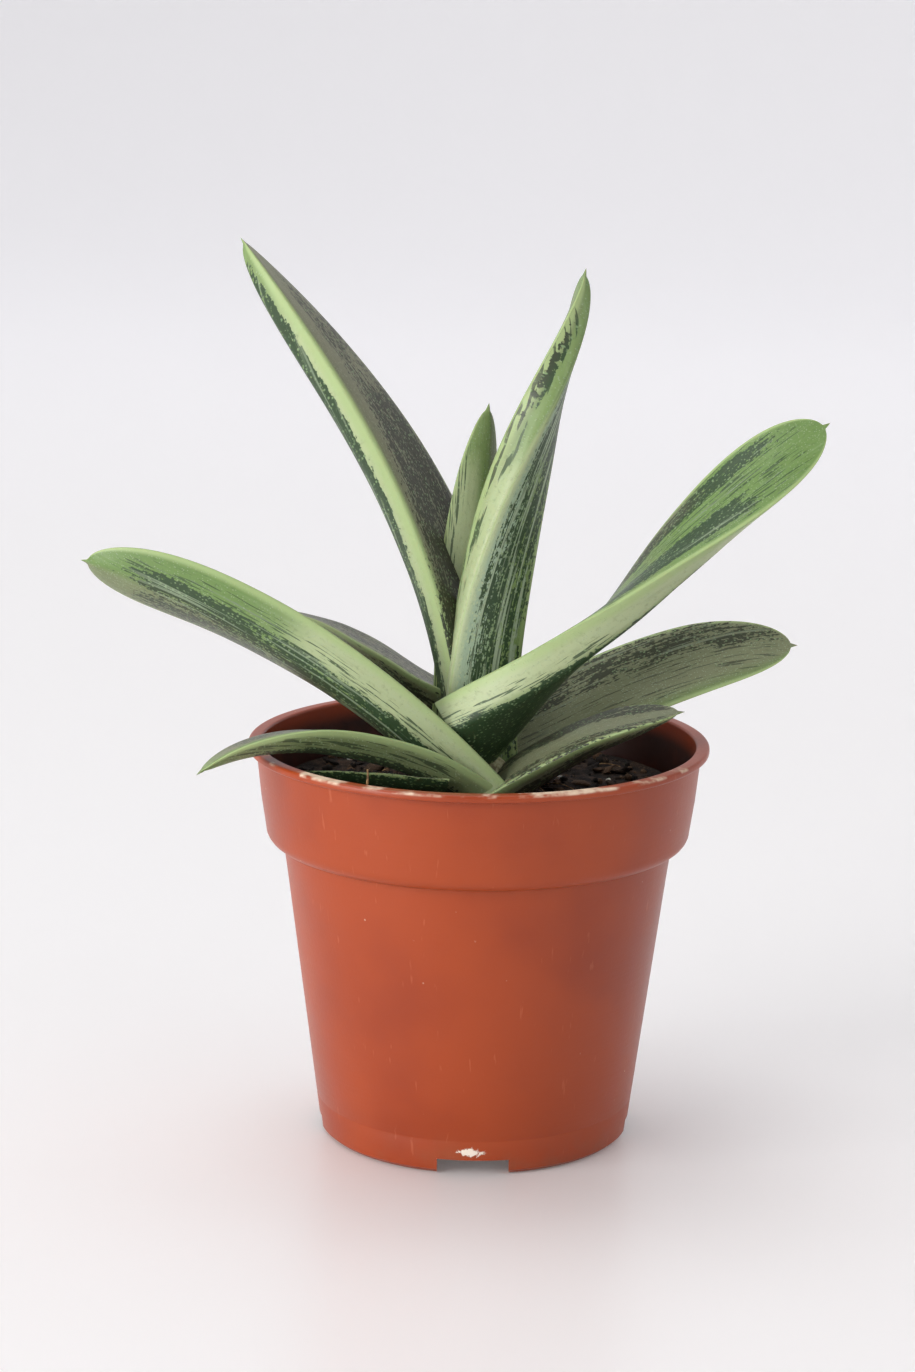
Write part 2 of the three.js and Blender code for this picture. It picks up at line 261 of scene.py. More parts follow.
# What is painted on each leaf. side says above or below, and a place there runs from -1 to 1: from
# margin to margin above, and below with 0 on the ridge. Each stroke is its layer, side, places at
# the base and tip, half width at both, where it starts and ends along the leaf, and its strength.
leafPaint = {
    "leaf_heart": [
        ("pale", "below", 0.6, 0.7, 0.4, 0.3, 0, 0.85, 0.8),
        ("shade", "below", -0.5, -0.45, 0.5, 0.4, 0.1, 0.95, 0.55),
        ("dashes", "below", 0.9, 0.9, 0.15, 0.15, 0.1, 0.9, 1),
    ],
    "leaf_upper_right": [
        ("pale", "below", -0.1, -0.05, 0.3, 0.12, 0, 0.75, 1),
        ("pale", "below", 0.5, 0.5, 0.8, 0.3, 0, 0.65, 0.8),
        ("dark", "below", -0.62, -0.55, 0.36, 0.45, 0.05, 0.85, 0.66),
        ("silver", "below", -0.3, -0.3, 0.22, 0.15, 0.02, 0.85, 1),
        ("lines", "below", -0.5, -0.5, 0.5, 0.5, 0.02, 0.85, 1),
        ("dashes", "below", 0.82, 0.75, 0.22, 0.3, 0.15, 0.93, 1),
        ("shade", "below", 0.95, 0.9, 0.16, 0.2, 0.5, 0.95, 0.7),
        ("dark", "below", 0.72, 0.72, 0.22, 0.2, 0.72, 0.9, 0.7),
        ("shade", "above", 0, 0, 1.2, 1.2, 0, 0.95, 0.8),
        ("dark", "above", 0, 0, 0.8, 0.7, 0, 0.9, 0.6),
    ],
    "leaf_upper_left": [
        ("shade", "above", 0.1, 0.1, 1.2, 1.2, 0, 1, 1),
        ("dark", "above", -0.25, 0.5, 1.4, 0.35, 0, 0.72, 0.7),
        ("dark", "above", 0.3, 0.3, 0.7, 0.6, 0.5, 0.92, 0.5),
        ("pale", "below", -0.82, -0.85, 0.3, 0.3, 0, 0.88, 0.9),
        ("dark", "below", -0.25, -0.25, 0.36, 0.42, 0.1, 0.97, 0.8),
        ("lines", "below", -0.3, -0.3, 0.4, 0.4, 0, 1, 0.5),
        ("dark", "below", 0.6, 0.5, 0.5, 0.5, 0.1, 0.9, 0.7),
    ],
    "leaf_right": [
        ("pale", "below", 0.65, 0.65, 0.5, 0.45, 0, 0.8, 1),
        ("dashes", "below", 0.35, 0.25, 0.22, 0.1, 0, 0.45, 1),
        ("dark", "below", -0.42, -0.35, 0.56, 0.6, 0, 0.85, 0.95),
        ("shade", "above", -0.75, -0.75, 0.3, 0.2, 0, 0.7, 0.8),
        ("dark", "above", -0.62, -0.6, 0.25, 0.25, 0.3, 0.9, 0.7),
        ("dark", "above", 0.45, 0.4, 0.4, 0.3, 0.1, 0.8, 0.85),
        ("dashes", "above", 0, 0, 0.9, 0.8, 0.3, 0.93, 1),
        ("lines", "above", 0, 0, 1, 1, 0.1, 0.95, 0.5),
        ("flush", "above", 0, 0, 1.2, 1.2, 0.55, 1, 1),
        ("flush", "below", 0, 0, 1.2, 1.2, 0.8, 1, 1),
    ],
    "leaf_left": [
        ("pale", "below", -0.85, -0.85, 0.5, 0.4, 0, 0.65, 0.9),
        ("dashes", "below", -0.55, -0.55, 0.14, 0.2, 0, 0.93, 1),
        ("dark", "below", -0.36, -0.4, 0.1, 0.14, 0, 0.92, 0.85),
        ("dark", "below", -0.1, -0.16, 0.24, 0.22, 0, 0.92, 0.76),
        ("lines", "below", -0.2, -0.2, 0.5, 0.5, 0, 0.9, 0.55),
        ("shade", "below", 0.4, 0.4, 0.5, 0.5, 0, 1, 0.7),
        ("dark", "below", 0.4, 0.4, 0.45, 0.45, 0, 0.9, 0.6),
        ("flush", "below", -0.5, -0.5, 1.2, 1.2, 0.55, 1, 1),
        ("shade", "above", 0, 0, 0.9, 0.9, 0, 0.9, 0.7),
        ("dark", "above", 0, 0, 0.7, 0.7, 0.1, 0.9, 0.6),
    ],
    "leaf_back_left": [
        ("shade", "above", 0, 0, 1.2, 1.2, 0, 1, 1),
        ("dark", "above", 0, 0, 0.9, 0.8, 0, 0.95, 0.55),
        ("shade", "below", 0, 0, 1.2, 1.2, 0, 1, 0.8),
        ("dark", "below", 0, 0, 0.9, 0.8, 0, 0.95, 0.6),
    ],
    "leaf_lower_right": [
        ("shade", "above", -0.3, -0.3, 1.2, 1.1, 0, 1, 0.85),
        ("flush", "above", 0.3, 0.2, 0.9, 0.9, 0, 1, 0.7),
        ("dark", "above", -0.6, -0.55, 0.45, 0.4, 0, 0.97, 0.56),
        ("dashes", "above", 0, 0, 0.9, 0.8, 0.05, 0.95, 0.5),
        ("lines", "above", 0, 0, 1, 1, 0.1, 0.95, 0.5),
        ("dark", "below", 0, 0, 0.9, 0.8, 0, 0.95, 0.8),
    ],
    "leaf_front_right": [
        ("shade", "above", 0, 0, 1.2, 1.2, 0, 1, 0.9),
        ("flush", "above", 0.4, 0.4, 0.8, 0.8, 0, 1, 0.9),
        ("dark", "above", -0.65, -0.65, 0.4, 0.4, 0, 0.95, 0.75),
        ("dark", "above", 0.8, 0.8, 0.3, 0.3, 0, 0.95, 0.5),
        ("shade", "below", 0.1, 0.1, 0.85, 0.85, 0, 0.98, 1),
        ("flush", "below", 0.4, 0.4, 0.8, 0.8, 0, 1, 0.8),
        ("dark", "below", 0.3, 0.3, 0.5, 0.5, 0, 0.95, 0.62),
        ("dark", "below", -0.5, -0.5, 0.5, 0.5, 0, 0.95, 0.7),
    ],
    "leaf_front_left": [
        ("shade", "above", 0.2, 0.2, 1, 0.9, 0, 0.95, 1),
        ("dark", "above", 0.1, 0.1, 0.8, 0.7, 0, 0.9, 0.6),
        ("pale", "below", 0, 0, 1.2, 1.2, 0, 0.16, 0.75),
        ("silver", "below", 0, 0, 1.2, 1.2, 0, 0.14, 0.5),
        ("dashes", "below", -0.7, -0.6, 0.2, 0.3, 0.25, 0.9, 1),
        ("dark", "below", 0.05, 0.1, 0.5, 0.5, 0.2, 0.85, 0.85),
        ("dark", "below", 0.6, 0.6, 0.5, 0.5, 0.14, 0.9, 0.6),
        ("shade", "below", -0.5, -0.4, 0.7, 0.7, 0.12, 0.95, 0.5),
        ("flush", "below", -0.6, -0.6, 0.6, 0.8, 0.4, 1, 0.9),
    ],
    "leaf_old": [
        ("shade", "above", 0, 0, 1.2, 1.2, 0, 1, 1),
        ("dark", "above", 0, 0, 1, 1, 0, 1, 0.8),
        ("dark", "below", 0, 0, 1, 1, 0, 1, 0.8),
    ],
}

# Lengths in millimetres, and shares of a leaf's length, width or thickness
leafForm = {
    "rings": 96,
    "around": 48,
    "channel": 0.08,
    "edge": 0.2,
    "marginFullness": 0.8,
    "ridgeFullness": 1.4,
    "tipFullness": 0.55,
    "claspReach": 0.3,
    "crowding": 1.6,  # draws the rings together towards the tip
    "pointLength": 1.3,
    "pointWidth": 0.9,
    "pointFrom": 0.9,
    "pointFull": 0.97,
    "waviness": 0.35,
    "waveAlong": 4.5,
    "waveAcross": 0.8,
    "waveStep": 3.7,  # from one leaf's wave to the next one's
    "fullWave": 4,  # half width from which the wave is whole
    "patternStep": (17.3, 5.1),  # from one leaf's pattern to the next one's
    "faceStep": 9.0,  # from the back's pattern to the upper face's
}
layers = ["pale", "dark", "dashes", "lines", "shade", "flush", "silver"]

# Where a stroke fades, as shares of its half width and as lengths round its start and end
strokeFade = {
    "inner": 0.7,
    "outer": 1.3,
    "beforeStart": 0.04,
    "afterStart": 0.06,
    "beforeEnd": 0.08,
    "afterEnd": 0.05,
}


def along(values, t):
    base, middle, tip = values
    return base * (1 - t) ** 2 + 2 * middle * t * (1 - t) + tip * t ** 2


def direction(rise, heading):
    slope, turn = math.radians(rise), math.radians(heading)
    flat = math.cos(slope)
    return Vector((flat * math.cos(turn), flat * math.sin(turn), math.sin(slope)))


# The leaf's middle at t, and the directions along and across it there
def leafLine(leaf, t):
    base, tip = Vector(leaf["base"]), Vector(leaf["tip"])
    reach = (tip - base).length / 3
    leaving = base + direction(leaf["rise"][0], leaf["heading"][0]) * reach
    arriving = tip - direction(leaf["rise"][1], leaf["heading"][1]) * reach
    point, onward = curveAt(base, leaving, arriving, tip, t)
    onward.normalize()
    heading = math.radians(leaf["heading"][0] * (1 - t) + leaf["heading"][1] * t - 90)
    side = Vector((math.cos(heading), math.sin(heading), 0))
    side = (side - onward * side.dot(onward)).normalized()
    side.rotate(Quaternion(onward, -math.radians(along(leaf["twist"], t))))
    return point, onward, side


# Half the width and the thickness at t, with the small stiff point at the tip
def leafGirth(leaf, t, length):
    blade = min(t / (1 - leafForm["pointLength"] / length), 1)
    closing = (1 - blade ** leaf["blunt"]) ** leafForm["tipFullness"]
    point = leafForm["pointWidth"] / 2 * min((1 - t) * length / leafForm["pointLength"], 1)
    point *= smoothRamp(t, leafForm["pointFrom"], leafForm["pointFull"])
    halfWidth = along(leaf["width"], t) / 2 * closing
    thickness = along(leaf["thickness"], t) * closing
    return max(halfWidth, point), max(thickness, point)


# A point of the leaf's section: its places between the margins and beside the ridge, and height
def leafSection(leaf, angle, halfWidth, thickness):
    sine, cosine = math.sin(angle), math.cos(angle)
    across = math.copysign(abs(cosine) ** leafForm["marginFullness"], cosine)
    lip = leafForm["edge"] * thickness * abs(sine)
    span = 1 - leaf["keel"] if across > leaf["keel"] else 1 + leaf["keel"]
    fromKeel = (across - leaf["keel"]) / span
    ridge = (1 - leafForm["edge"]) * thickness * (1 - abs(fromKeel) ** leafForm["ridgeFullness"])
    if sine >= 0:
        return across, across, lip - leafForm["channel"] * halfWidth * (1 - across ** 2)
    return across, fromKeel, -lip - ridge


# How strongly a stroke is painted at one point of the leaf
def strokeAmount(stroke, above, where, t):
    layer, side, atBase, atTip, wideBase, wideTip, start, end, strength = stroke
    if above != (side == "above"):
        return 0
    centre = atBase + (atTip - atBase) * t
    half = wideBase + (wideTip - wideBase) * t
    inner, outer = half * strokeFade["inner"], half * strokeFade["outer"]
    inside = 1 - smoothRamp(abs(where - centre), inner, outer)
    begun = ended = 1
    if start > 0:
        begun = smoothRamp(t, start - strokeFade["beforeStart"], start + strokeFade["afterStart"])
    if end < 1:
        ended = 1 - smoothRamp(t, end - strokeFade["beforeEnd"], end + strokeFade["afterEnd"])
    return strength * inside * begun * ended


def makeLeaf(name, leaf, material, seed):
    piece = ringedBar(name.replace("leaf", "blade"), leafForm["rings"], leafForm["around"])
    mesh = piece.data
    length = (Vector(leaf["tip"]) - Vector(leaf["base"])).length
    alongStep, acrossStep = leafForm["patternStep"]
    drift = Vector((seed * alongStep, seed * acrossStep, 0))
    painted = {layer: [] for layer in layers}
    margins, skin = [], []
    for vertex in mesh.vertices:
        t = 1 - (1 - (vertex.co.z + 1) / 2) ** leafForm["crowding"]
        angle = math.atan2(vertex.co.y, vertex.co.x)
        point, onward, side = leafLine(leaf, t)
        halfWidth, thickness = leafGirth(leaf, t, length)
        across, where, height = leafSection(leaf, angle, halfWidth, thickness)
        above = math.sin(angle) >= 0
        if endsMiddle(vertex):
            across = height = 0
        wander = noise.noise(Vector((
            t * leafForm["waveAlong"], across * leafForm["waveAcross"],
            seed * leafForm["waveStep"])))
        wave = wander * leafForm["waviness"] * min(halfWidth / leafForm["fullWave"], 1)
        clasp = leaf["clasp"] * max(1 - t / leafForm["claspReach"], 0) ** 2
        up = height + wave + clasp * halfWidth * across ** 2
        normal = side.cross(onward)
        place = point + side * (across * halfWidth) + normal * up
        vertex.co = (axis + Vector((0, 0, crownHeight)) + place) * mm
        for layer in layers:
            strokes = [stroke for stroke in leafPaint[name] if stroke[0] == layer]
            amounts = [strokeAmount(stroke, above, where, t) for stroke in strokes]
            painted[layer].append(max(amounts, default=0))
        ridge = 0 if above else 1 - abs(where) * 3
        margins.append(max(abs(across), ridge))
        face = leafForm["faceStep"] if above else 0.0
        skin += [t * length + drift.x, across * halfWidth + drift.y, face]
    painted["margin"] = margins
    for layer, amounts in painted.items():
        mesh.attributes.new(layer, "FLOAT", "POINT").data.foreach_set("value", amounts)
    mesh.attributes.new("skin", "FLOAT_VECTOR", "POINT").data.foreach_set("vector", skin)
    complete(piece, material, sharpest=math.radians(60))
    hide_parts(name)


leafColours = {
    "green": tone(116, 139, 84),
    "pale": tone(170, 182, 140),
    "flush": tone(94, 124, 62),
    "shade": tone(120, 118, 98),
    "silver": tone(146, 166, 140),
    "dark": tone(47, 68, 41),
    "shadeDark": tone(58, 60, 46),
    "speckle": tone(130, 156, 110),
    "line": tone(164, 180, 150),
    "margin": tone(158, 178, 122),
}


# Green skin with pale, shaded and flushed bands, and dark speckled bands laid over them
def leafSkin():
    finish = Finish(
        "leafSkin", Specular_IOR_Level=0.4, Subsurface_Weight=0.1, Subsurface_Scale=0.001)
    pale, dark, dashes, lines, shade, flush, silver, margin = (
        finish.attribute(layer) for layer in layers + ["margin"])
    skin = finish.attribute("skin", "Vector")
    patches = finish.grain(finish.stretch(skin, 0.1, 0.32, 1), 1, 2)
    mottle = finish.grain(finish.stretch(skin, 0.95, 1.7, 1), 1, 3, 0.6)
    streaks = finish.grain(finish.stretch(skin, 0.06, 1.9, 1), 1, 3, 0.6)
    dashGrain = finish.grain(finish.stretch(skin, 0.13, 3.1, 1), 1, 2)
    lineGrain = finish.grain(finish.stretch(skin, 0.03, 1.5, 1), 1, 2)
    spots = finish.cells(finish.stretch(skin, 1.25, 2, 1), 1)
    fibre = (streaks - 0.5) * 0.9 + (patches - 0.5) * 0.5
    bare = finish.blend(leafColours["green"], leafColours["pale"], pale)
    bare = finish.blend(bare, leafColours["flush"], flush * 0.75)
    bare = finish.blend(bare, leafColours["shade"], shade * 0.85)
    bare = finish.blend(bare, leafColours["dark"], fibre.step(0, 0.5) * 0.3)
    bare = finish.blend(bare, leafColours["line"], (0 - fibre).step(0, 0.5) * 0.3)
    bare = finish.blend(bare, leafColours["silver"], silver * (spots.step(0.2, 0.45) * 0.6 + 0.4))
    dots = 1 - finish.cells(finish.stretch(skin, 2, 3, 1), 1).step(0.14, 0.32)
    bare = finish.blend(bare, leafColours["line"], dots * 0.4)
    bare = finish.blend(bare, leafColours["dark"], mottle.step(0.52, 0.72) * 0.22)
    bare = finish.blend(bare, leafColours["margin"], margin.step(0.86, 0.97) * 0.85)
    strength = dark - 0.5 + (mottle - 0.5) * 1.5 + (patches - 0.5) * 0.8 + (dashGrain - 0.5) * 1.2
    darkened = strength.step(-0.07, 0.07) * dark.step(0.03, 0.15)
    dashed = (dashGrain + dashes * 0.1).step(0.62, 0.67) * dashes.step(0.05, 0.4)
    night = finish.blend(leafColours["dark"], leafColours["shadeDark"], shade)
    pips = (1 - spots.step(0.18, 0.38)) * mottle.step(0.38, 0.55)
    night = finish.blend(night, leafColours["speckle"], pips * 0.75)
    pinLines = (lineGrain + lines * 0.08).step(0.6, 0.68) * lines
    night = finish.blend(night, leafColours["line"], pinLines * 0.8)
    colour = finish.blend(bare, night, darkened.most(dashed * 0.85))
    roughness = 0.44 + (mottle - 0.5) * 0.2 - darkened * 0.04
    height = pips * 0.6 * darkened + dots * 0.35 + fibre * 0.5 + mottle * 0.25
    return finish.finishWith(colour, roughness, height, 0.1)


skinMaterial = leafSkin()
for seed, (name, leaf) in enumerate(leafShapes.items()):
    makeLeaf(name, leaf, skinMaterial, seed)
print("leaves made")


# The pot, in millimetres
potForm = {
    "around": 192,
    "lipHeight": 1.4,
    "lipOverhang": 1.5,
    "lipRounding": 0.5,
    "wall": 1,
    "collarHeight": 18.5,
    "collarTaper": 1.8,
    "collarFillet": 2.5,
    "shoulderStep": 3.2,
    "corner": 0.6,
    "footRadius": 28.8,
    "footRing": 2,
    "footBevel": 0.7,
    "ringBevel": 0.4,
    "plateHeight": 3,
    "plateThickness": 1.2,
    "notchWidth": 13,
    "notchReach": 10,
    "notchHeight": 2.8,
    "notches": 4,
    "drainReach": 6,
    "drainInset": 1,  # from the foot's ring
    "cutPast": 1,  # how far a drain's cut runs on above and below the plate
}

# Heights up the body and how far it dips in there: a faint ring runs round near its foot
bodyRings = [(0.7, 0), (6, 0), (6.3, 0.1), (6.7, 0.1), (7, 0), (16, 0), (28, 0), (40, 0), (50, 0)]


# Points on an arc round (radius, height), between two angles in degrees
def arc(radius, height, bend, start, end, steps=6):
    angles = [math.radians(start + (end - start) * step / steps) for step in range(steps + 1)]
    return [(radius + bend * math.cos(angle), height + bend * math.sin(angle)) for angle in angles]


def potRadii():
    collarTop = lipRadius - potForm["lipOverhang"]
    collarBottom = collarTop - potForm["collarTaper"]
    return collarTop, collarBottom, collarBottom - potForm["shoulderStep"]


def bodyRadius(height):
    share = height / (rimHeight - potForm["collarHeight"])
    return potForm["footRadius"] + (potRadii()[2] - potForm["footRadius"]) * share


def innerWall(clearance):
    collarTop, collarBottom, shoulder = potRadii()
    wall = potForm["wall"] + clearance
    floor = potForm["plateHeight"] + potForm["plateThickness"]
    step = rimHeight - potForm["collarHeight"] + potForm["wall"] + clearance
    return [
        (bodyRadius(floor) - wall, floor + clearance),
        (shoulder - wall, step),
        (collarBottom - wall, step + potForm["shoulderStep"] / 2),
    ]


def potProfile():
    collarTop, collarBottom, shoulder = potRadii()
    step = rimHeight - potForm["collarHeight"]
    footInner = potForm["footRadius"] - potForm["footRing"]
    bevel, fillet, corner = potForm["footBevel"], potForm["collarFillet"], potForm["corner"]
    lipBottom = rimHeight - potForm["lipHeight"]
    rounding = potForm["lipRounding"]
    ringBevel = potForm["ringBevel"]
    outer = [(footInner, ringBevel), (footInner + ringBevel, 0), (potForm["footRadius"] - bevel, 0)]
    outer += [(bodyRadius(height) - dip, height) for height, dip in bodyRings]
    outer += arc(shoulder + corner, step - corner, corner, 180, 90)
    outer += arc(collarBottom - fillet, step + fillet, fillet, -90, 0)
    outer += [((collarBottom + collarTop) / 2, (step + lipBottom) / 2)]
    outer += [(collarTop, lipBottom - 0.2), (collarTop + 0.3, lipBottom)]
    outer += arc(lipRadius - rounding, lipBottom + rounding, rounding, -80, 0)
    outer += arc(lipRadius - rounding, rimHeight - rounding, rounding, 10, 90)
    outer += arc(collarTop - potForm["wall"] + rounding, rimHeight - rounding, rounding, 90, 180)
    return outer + innerWall(0)[::-1]


# Carries a circle of edges through every point of a profile
def turnedPiece(name, first, profile, around):
    deselect()
    bpy.ops.mesh.primitive_circle_add(
        vertices=around, radius=first[0] * mm, fill_type="TRIFAN",
        location=(axis.x * mm, axis.y * mm, first[1] * mm))
    piece = bpy.context.object
    piece.name = piece.data.name = name
    bpy.ops.object.transform_apply(location=True)
    middle = axis * mm
    for vertex in piece.data.vertices:
        vertex.select = (vertex.co.xy - middle.xy).length > first[0] * mm / 2
    bpy.context.tool_settings.mesh_select_mode = (True, False, False)
    bpy.ops.object.mode_set(mode="EDIT")
    radius, height = first
    for nextRadius, nextHeight in profile:
        bpy.ops.mesh.extrude_region_move(
            TRANSFORM_OT_translate={"value": (0, 0, (nextHeight - height) * mm)})
        growth = nextRadius / radius
        centre = (middle.x, middle.y, nextHeight * mm)
        bpy.ops.transform.resize(value=(growth, growth, 1), center_override=centre)
        radius, height = nextRadius, nextHeight
    bpy.ops.mesh.extrude_region_move()
    bpy.ops.mesh.merge(type="CENTER")
    bpy.ops.mesh.select_all(action="SELECT")
    bpy.ops.mesh.normals_make_consistent(inside=False)
    bpy.ops.object.mode_set(mode="OBJECT")
    return piece


# A block with its middle this far in front of the pot's axis, turned round to its place
def cutBlock(distance, height, size, turn):
    deselect()
    bpy.ops.mesh.primitive_cube_add(size=1, location=(0, -distance * mm, height * mm))
    block = bpy.context.object
    block.scale = [side * mm for side in size]
    bpy.ops.object.transform_apply(location=True, scale=True)
    block.rotation_euler.z = turn
    block.location = axis * mm
    bpy.ops.object.transform_apply(location=True, rotation=True)
    return block


def cutNotches(pot):
    footRadius, ring = potForm["footRadius"], potForm["footRing"]
    width, reach, drain = potForm["notchWidth"], potForm["notchReach"], potForm["drainReach"]
    deep = ring + reach
    floor = potForm["plateHeight"] + potForm["plateThickness"]
    blocks = []
    for index in range(potForm["notches"]):
        turn = index / potForm["notches"] * 2 * math.pi
        away = footRadius + ring - deep / 2
        blocks.append(cutBlock(away, 0, (width, deep, 2 * potForm["notchHeight"]), turn))
        # a hair narrower than the notch, so that their sides don't coincide
        away = footRadius - ring - drain / 2 - potForm["drainInset"]
        height = floor + 2 * potForm["cutPast"]
        blocks.append(cutBlock(away, floor / 2, (width - 0.02, drain, height), turn))
    for block in blocks:
        cut = pot.modifiers.new("cut", "BOOLEAN")
        cut.object = block
        cut.operation = "DIFFERENCE"
        cut.solver = "EXACT"
        deselect()
        pot.select_set(True)
        bpy.context.view_layer.objects.active = pot
        bpy.ops.object.modifier_apply(modifier=cut.name)
        bpy.data.objects.remove(block)


potColours = {
    "plastic": tone(156, 62, 21),
    "deep": tone(142, 53, 18),
    "scuff": tone(206, 122, 88),
    "limescale": tone(226, 206, 180),
    "chip": tone(232, 222, 206),
    "dust": tone(120, 84, 62),
    "paintedInnerShade": tone(34, 20, 17),
}


# Wear in millimetres: limescale along the lip's top, dust round the foot, and one chip over the
# front notch
potWear = {
    "limeBelowRim": (0.6, 0.15),
    "limeFront": (12, 34),
    "dustHeight": (0.5, 9),
    "chipLeft": 0.5,
    "chipHeight": 4.4,
    "chipFront": (20, 24),
}


def potPlastic():
    finish = Finish("pottedPlastic", Specular_IOR_Level=0.4)
    place = finish.place()
    x, y, z = finish.parts(place)
    cloud = finish.grain(place, 0.035, 3)
    fine = finish.grain(place, 1.6, 3, 0.6)
    turned = finish.grain(finish.stretch(place, 0.05, 0.05, 1.4), 1, 3, 0.6)
    scratches = finish.grain(finish.stretch(place, 0.9, 0.9, 0.14), 1, 2)
    flecks = finish.cells(place, 0.16)
    colour = finish.blend(potColours["deep"], potColours["plastic"], cloud.step(0.3, 0.62))
    colour = finish.blend(colour, potColours["scuff"], scratches.step(0.68, 0.76) * 0.2)
    flecked = (1 - flecks.step(0.02, 0.04)) * fine.step(0.4, 0.6)
    colour = finish.blend(colour, potColours["limescale"], flecked * 0.55)
    limeFrom, limeFull = potWear["limeBelowRim"]
    atLip = z.step(rimHeight - limeFrom, rimHeight - limeFull)
    crust = finish.grain(place, 0.11, 4, 0.6)
    front = (axis.y - y).step(*potWear["limeFront"]) * 0.11
    scaled = (crust + front).step(0.6, 0.72) * atLip
    colour = finish.blend(colour, potColours["limescale"], scaled * 0.85)
    low = 1 - z.step(*potWear["dustHeight"])
    colour = finish.blend(colour, potColours["dust"], low * crust.step(0.45, 0.7) * 0.35)
    chipX = abs(x - axis.x + potWear["chipLeft"]) * 0.32
    chipZ = abs(z - potWear["chipHeight"]) * 0.9
    chipped = 1 - (chipX + chipZ + (fine - 0.5) * 2.6).step(0.6, 1)
    chipped = chipped * (axis.y - y).step(*potWear["chipFront"])
    colour = finish.blend(colour, potColours["chip"], chipped)
    # Painted shade: the inner wall, from a millimetre below the rim down to the floor, darkened
    # nearly to black for the shadow inside the pot
    inside = finish.attribute("inside").step(0.02, 0.25) * (crust.step(0.2, 0.6) * 0.2 + 0.8)
    colour = finish.blend(colour, potColours["paintedInnerShade"], inside * 0.95)
    roughness = 0.36 + (cloud - 0.5) * 0.2 + scaled * 0.3 + (fine - 0.5) * 0.08
    height = fine * 0.25 + turned * 0.3 + scaled * 0.8 + chipped * 0.8 + flecked * 0.5
    return finish.finishWith(colour, roughness, height, 0.08)


# 1 on the inner wall and 0 on the outer one: where the pot's finish paints the shade inside the pot
def markInside(pot):
    collarTop, collarBottom, shoulder = potRadii()
    step = rimHeight - potForm["collarHeight"]
    inside = []
    for vertex in pot.data.vertices:
        height = vertex.co.z / mm
        away = (vertex.co / mm - axis).xy.length
        up = (height - step) / potForm["collarHeight"]
        outer = collarBottom + (collarTop - collarBottom) * up
        if height < step + potForm["collarFillet"]:
            outer = bodyRadius(height)
        covered = height > potForm["plateHeight"] + 0.1 and height < rimHeight - 1
        inside.append(float(covered and away < outer - potForm["wall"] / 2))
    pot.data.attributes.new("inside", "FLOAT", "POINT").data.foreach_set("value", inside)


def makePot():
    plateEdge = (potForm["footRadius"] - potForm["footRing"], potForm["plateHeight"])
    pot = turnedPiece("growersPot", plateEdge, potProfile(), potForm["around"])
    cutNotches(pot)
    markInside(pot)
    complete(pot, potPlastic(), sharpest=math.radians(35), doubles=0.001)
    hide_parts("pot")


makePot()
print("pot made")


# The soil, with what lies on it: sizes in millimetres, and how many of each
soilForm = {
    "around": 160,
    "rings": 40,
    "clearance": 0.3,
    "mound": 2,
    "moundFrom": 6,
    "moundTo": 30,
    "sunk": 0.5,
    "clump": 1.3,
    "crumbs": 620,
    "flakes": 90,
    "perlite": 26,
    "fibres": 16,
    "fibreStep": 2.4,
    "fibreReach": 36,
    "seed": 7,
}
soilColours = {
    "wet": tone(24, 19, 16),
    "damp": tone(62, 47, 36),
    "dry": tone(108, 88, 68),
    "crumb": tone(26, 20, 16),
    "bark": tone(88, 66, 47),
    "barkDry": tone(126, 108, 86),
    "perliteShade": tone(196, 190, 178),
    "perlite": tone(232, 229, 222),
    "fibre": tone(92, 66, 40),
    "fibreDry": tone(176, 140, 96),
}
dice = random.Random(soilForm["seed"])
soilRadius = innerWall(soilForm["clearance"])[2][0]


# The soil's height at a place measured from the pot's axis
def soilHeight(x, y):
    fall = smoothRamp(math.hypot(x, y), soilForm["moundFrom"], soilForm["moundTo"])
    slope = soilTop - soilForm["mound"] * fall
    spot = Vector((x, y, 0))
    coarse = noise.noise(spot * 0.13) * soilForm["clump"]
    fine = noise.noise(spot * 0.55) * soilForm["clump"] * 0.4
    return slope - soilForm["sunk"] + coarse + fine


def soilGround():
    finish = Finish("pottingMix", Specular_IOR_Level=0.25)
    place = finish.place()
    lumps = finish.grain(place, 0.35, 4, 0.6)
    fine = finish.grain(place, 1.7, 4, 0.65)
    colour = finish.blend(soilColours["wet"], soilColours["damp"], lumps.step(0.38, 0.66))
    colour = finish.blend(colour, soilColours["dry"], fine.step(0.6, 0.72) * 0.6)
    return finish.finishWith(colour, 0.85 + fine * 0.1, lumps + fine * 0.6, 0.9)


def crumbFinish():
    finish = Finish("crumbs", Specular_IOR_Level=0.25)
    place = finish.place()
    fine = finish.grain(place, 2.2, 4, 0.6)
    share = finish.attribute("share")
    colour = finish.blend(soilColours["crumb"], soilColours["bark"], share.step(0.45, 0.95))
    colour = finish.blend(colour, soilColours["barkDry"], fine.step(0.58, 0.7) * share)
    return finish.finishWith(colour, 0.8 + fine * 0.15, fine, 0.4)


def perliteFinish():
    finish = Finish("perliteGrit", Subsurface_Weight=0.1, Subsurface_Scale=0.001)
    place = finish.place()
    fine = finish.grain(place, 2.5, 4, 0.6)
    colour = finish.blend(
        soilColours["perliteShade"], soilColours["perlite"], fine.step(0.4, 0.6))
    return finish.finishWith(colour, 0.8 + fine * 0.1, fine, 0.5)


